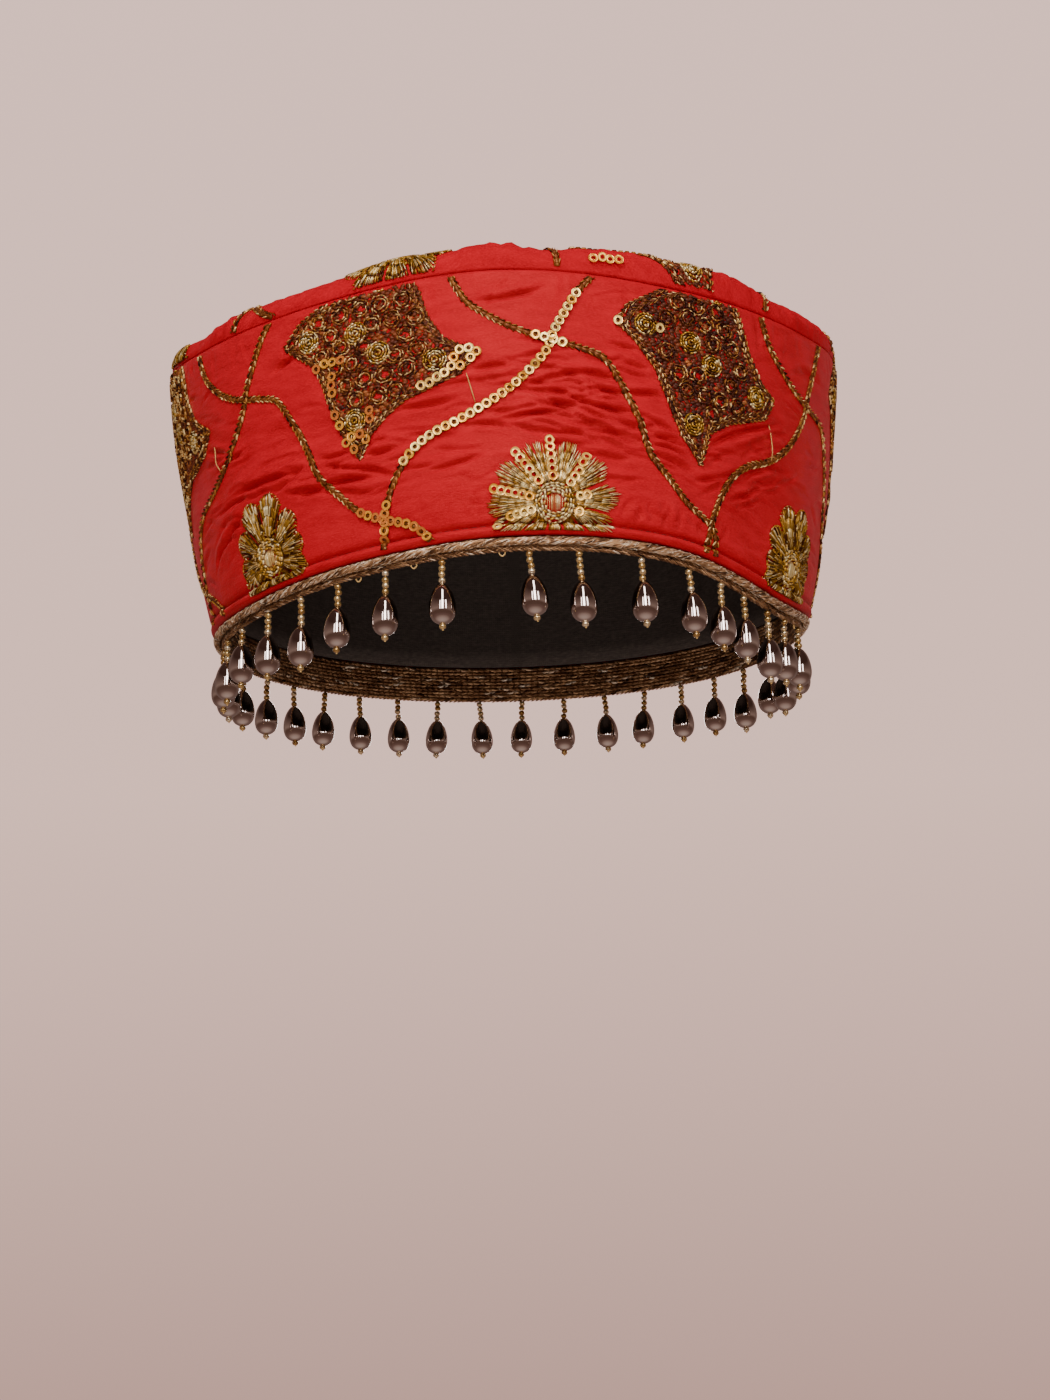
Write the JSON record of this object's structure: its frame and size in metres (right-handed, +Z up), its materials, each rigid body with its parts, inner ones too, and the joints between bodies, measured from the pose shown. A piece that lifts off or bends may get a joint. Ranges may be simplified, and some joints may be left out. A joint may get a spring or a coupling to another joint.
{
  "type": "bridal cap",
  "caption": "Pillbox-shaped bridal cap of embroidered red satin, flared upwards, with a bronze braid and a hanging fringe of silvered teardrop beads round its lower edge.",
  "frame": {"origin": "centre of the head opening, level with the mean lower edge of the satin", "axes": "+Z up through the crown, -Y to the front of the cap, +X to the right of a viewer who faces it"},
  "size_m": [0.2062, 0.1987, 0.1182],
  "materials": {
    "red_satin": "shiny woven satin, lightly creased, with gold embroidery and sequins",
    "gold_thread": "metallic embroidery thread in chain and satin stitch",
    "gold_sequin": "flat metallised ring sequins",
    "dark_lining": "plain dull dark cotton",
    "bronze_braid": "metallic bronze twisted cord and woven tape",
    "silvered_bead": "mirror-bright silvered plastic with a rose tinge",
    "gold_seed_bead": "gold-lined glass seed beads"
  },
  "bodies": {
    "root": {"side_band": "red_satin", "crown_top": "red_satin", "lining": "dark_lining", "rim_tape": "bronze_braid", "rim_cord": "bronze_braid", "drop_01": "silvered_bead", "drop_02": "silvered_bead", "drop_03": "silvered_bead", "drop_04": "silvered_bead", "drop_05": "silvered_bead", "drop_06": "silvered_bead", "drop_07": "silvered_bead", "drop_08": "silvered_bead", "drop_09": "silvered_bead", "drop_10": "silvered_bead", "drop_11": "silvered_bead", "drop_12": "silvered_bead", "drop_13": "silvered_bead", "drop_14": "silvered_bead", "drop_15": "silvered_bead", "drop_16": "silvered_bead", "drop_17": "silvered_bead", "drop_18": "silvered_bead", "drop_19": "silvered_bead", "drop_20": "silvered_bead", "drop_21": "silvered_bead", "drop_22": "silvered_bead", "drop_23": "silvered_bead", "drop_24": "silvered_bead", "drop_25": "silvered_bead", "drop_26": "silvered_bead", "drop_27": "silvered_bead", "drop_28": "silvered_bead", "drop_29": "silvered_bead", "drop_30": "silvered_bead", "drop_31": "silvered_bead", "drop_32": "silvered_bead", "drop_33": "silvered_bead", "drop_34": "silvered_bead", "drop_35": "silvered_bead", "drop_36": "silvered_bead"}
  },
  "joints": []
}
